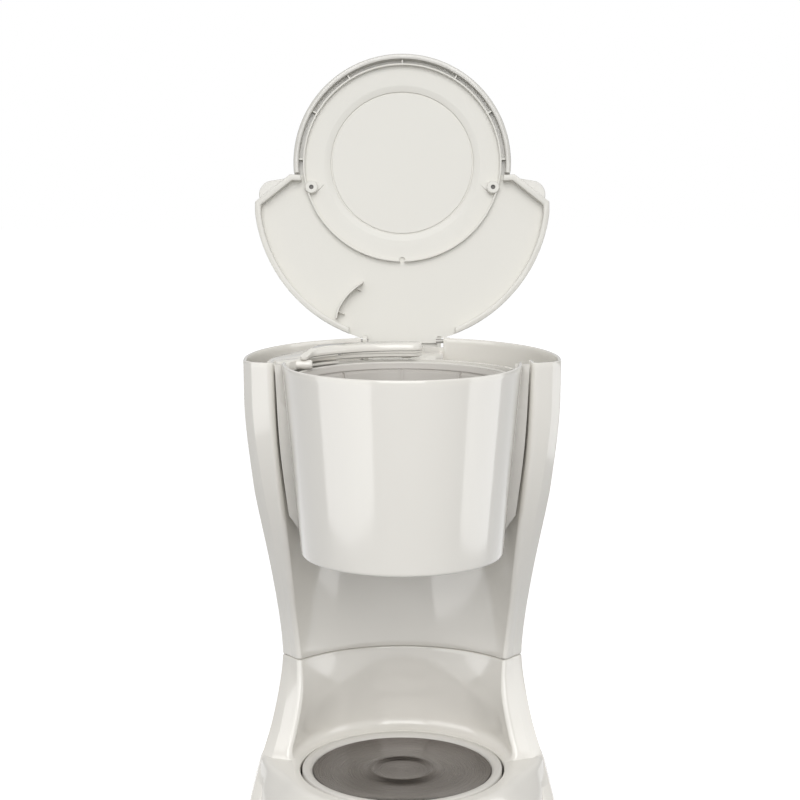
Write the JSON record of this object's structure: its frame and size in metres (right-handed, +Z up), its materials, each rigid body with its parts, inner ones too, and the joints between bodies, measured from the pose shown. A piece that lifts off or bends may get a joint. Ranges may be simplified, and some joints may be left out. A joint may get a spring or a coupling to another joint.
{
  "type": "drip coffee maker",
  "caption": "Waisted white drip coffee maker with an open hinged lid, swivel spout, lift-out filter basket with drip stop, and a round hot plate in the base.",
  "frame": {"origin": "under the middle of the machine with its lid open, on the surface that the feet stand on", "axes": "+Z up, the front with the filter and the switch faces -Y, +X to the viewer's right"},
  "size_m": [0.2148, 0.2762, 0.5183],
  "materials": {
    "white_plastic": "moulded polypropylene, warm white, glossy",
    "satin_plastic": "moulded polypropylene, light grey, satin",
    "grey_plastic": "moulded, mid grey, fine texture",
    "plate_steel": "non-stick coated steel hot plate",
    "bright_steel": "bright zinc plated steel",
    "aluminium": "extruded, as drawn",
    "rubber": "matt black rubber",
    "silicone": "milky silicone hose",
    "ceramic": "steatite ceramic and phenolic",
    "clear_plastic": "clear moulded window"
  },
  "bodies": {
    "body": {"upper_housing": "white_plastic", "base_housing": "white_plastic", "bottom_cover": "grey_plastic", "front_shell": "white_plastic", "filter_housing": "satin_plastic", "riser_cap": "white_plastic", "riser_tube": "satin_plastic", "level_window": "clear_plastic", "hot_plate": "plate_steel", "plate_ring": "satin_plastic", "heater_element": "aluminium", "water_pipe": "aluminium", "inlet_hose": "silicone", "riser_hose": "silicone", "outlet_valve": "satin_plastic", "thermostat": "ceramic", "thermostat_strap": "bright_steel", "thermal_fuse_1": "bright_steel", "thermal_fuse_2": "bright_steel", "switch_frame": "grey_plastic", "cable_inlet": "grey_plastic", "foot_1": "rubber", "foot_2": "rubber", "foot_3": "rubber", "foot_4": "rubber", "base_screw_1": "bright_steel", "base_screw_2": "bright_steel", "base_screw_3": "bright_steel", "base_screw_4": "bright_steel", "hinge_pin_1": "bright_steel", "hinge_pin_2": "bright_steel"},
    "lid": {"lid_panel": "white_plastic", "lid_cover": "white_plastic", "lid_screw_1": "bright_steel", "lid_screw_2": "bright_steel"},
    "spout_arm": {"arm_top": "white_plastic", "arm_bottom": "white_plastic"},
    "basket": {"filter_basket": "satin_plastic", "drip_guide": "satin_plastic", "drip_spring": "bright_steel"},
    "drip_valve": {"drip_stem": "grey_plastic", "drip_seal": "rubber"},
    "rocker": {"switch_rocker": "satin_plastic"}
  },
  "joints": [
    {"name": "lid_hinge", "type": "hinge", "parent": "body", "child": "lid", "pos_m": [0, 0.08477, 0.3118], "axis": [1, 0, 0], "range_deg": [0, 99.75]},
    {"name": "arm_swivel", "type": "hinge", "parent": "body", "child": "spout_arm", "pos_m": [-0.0735, 0.00777, 0.307], "axis": [0, 0, 1], "range_deg": [-55.1, 0]},
    {"name": "basket_lift", "type": "slide", "parent": "body", "child": "basket", "axis": [0, 0, 1], "range_m": [0, 0.16]},
    {"name": "drip_stop", "type": "slide", "parent": "basket", "child": "drip_valve", "axis": [0, 0, 1], "range_m": [0, 0.004], "stiffness_N_per_m": 180, "springref_m": -0.002, "deforming": ["drip_spring"]},
    {"name": "power_rocker", "type": "hinge", "parent": "body", "child": "rocker", "pos_m": [0, -0.13063, 0.017], "axis": [1, 0, 0], "range_deg": [0, 14]}
  ],
  "couplings": [
    {"joint": "arm_swivel", "follows": "lid_hinge", "ratio": -0.5514}
  ]
}
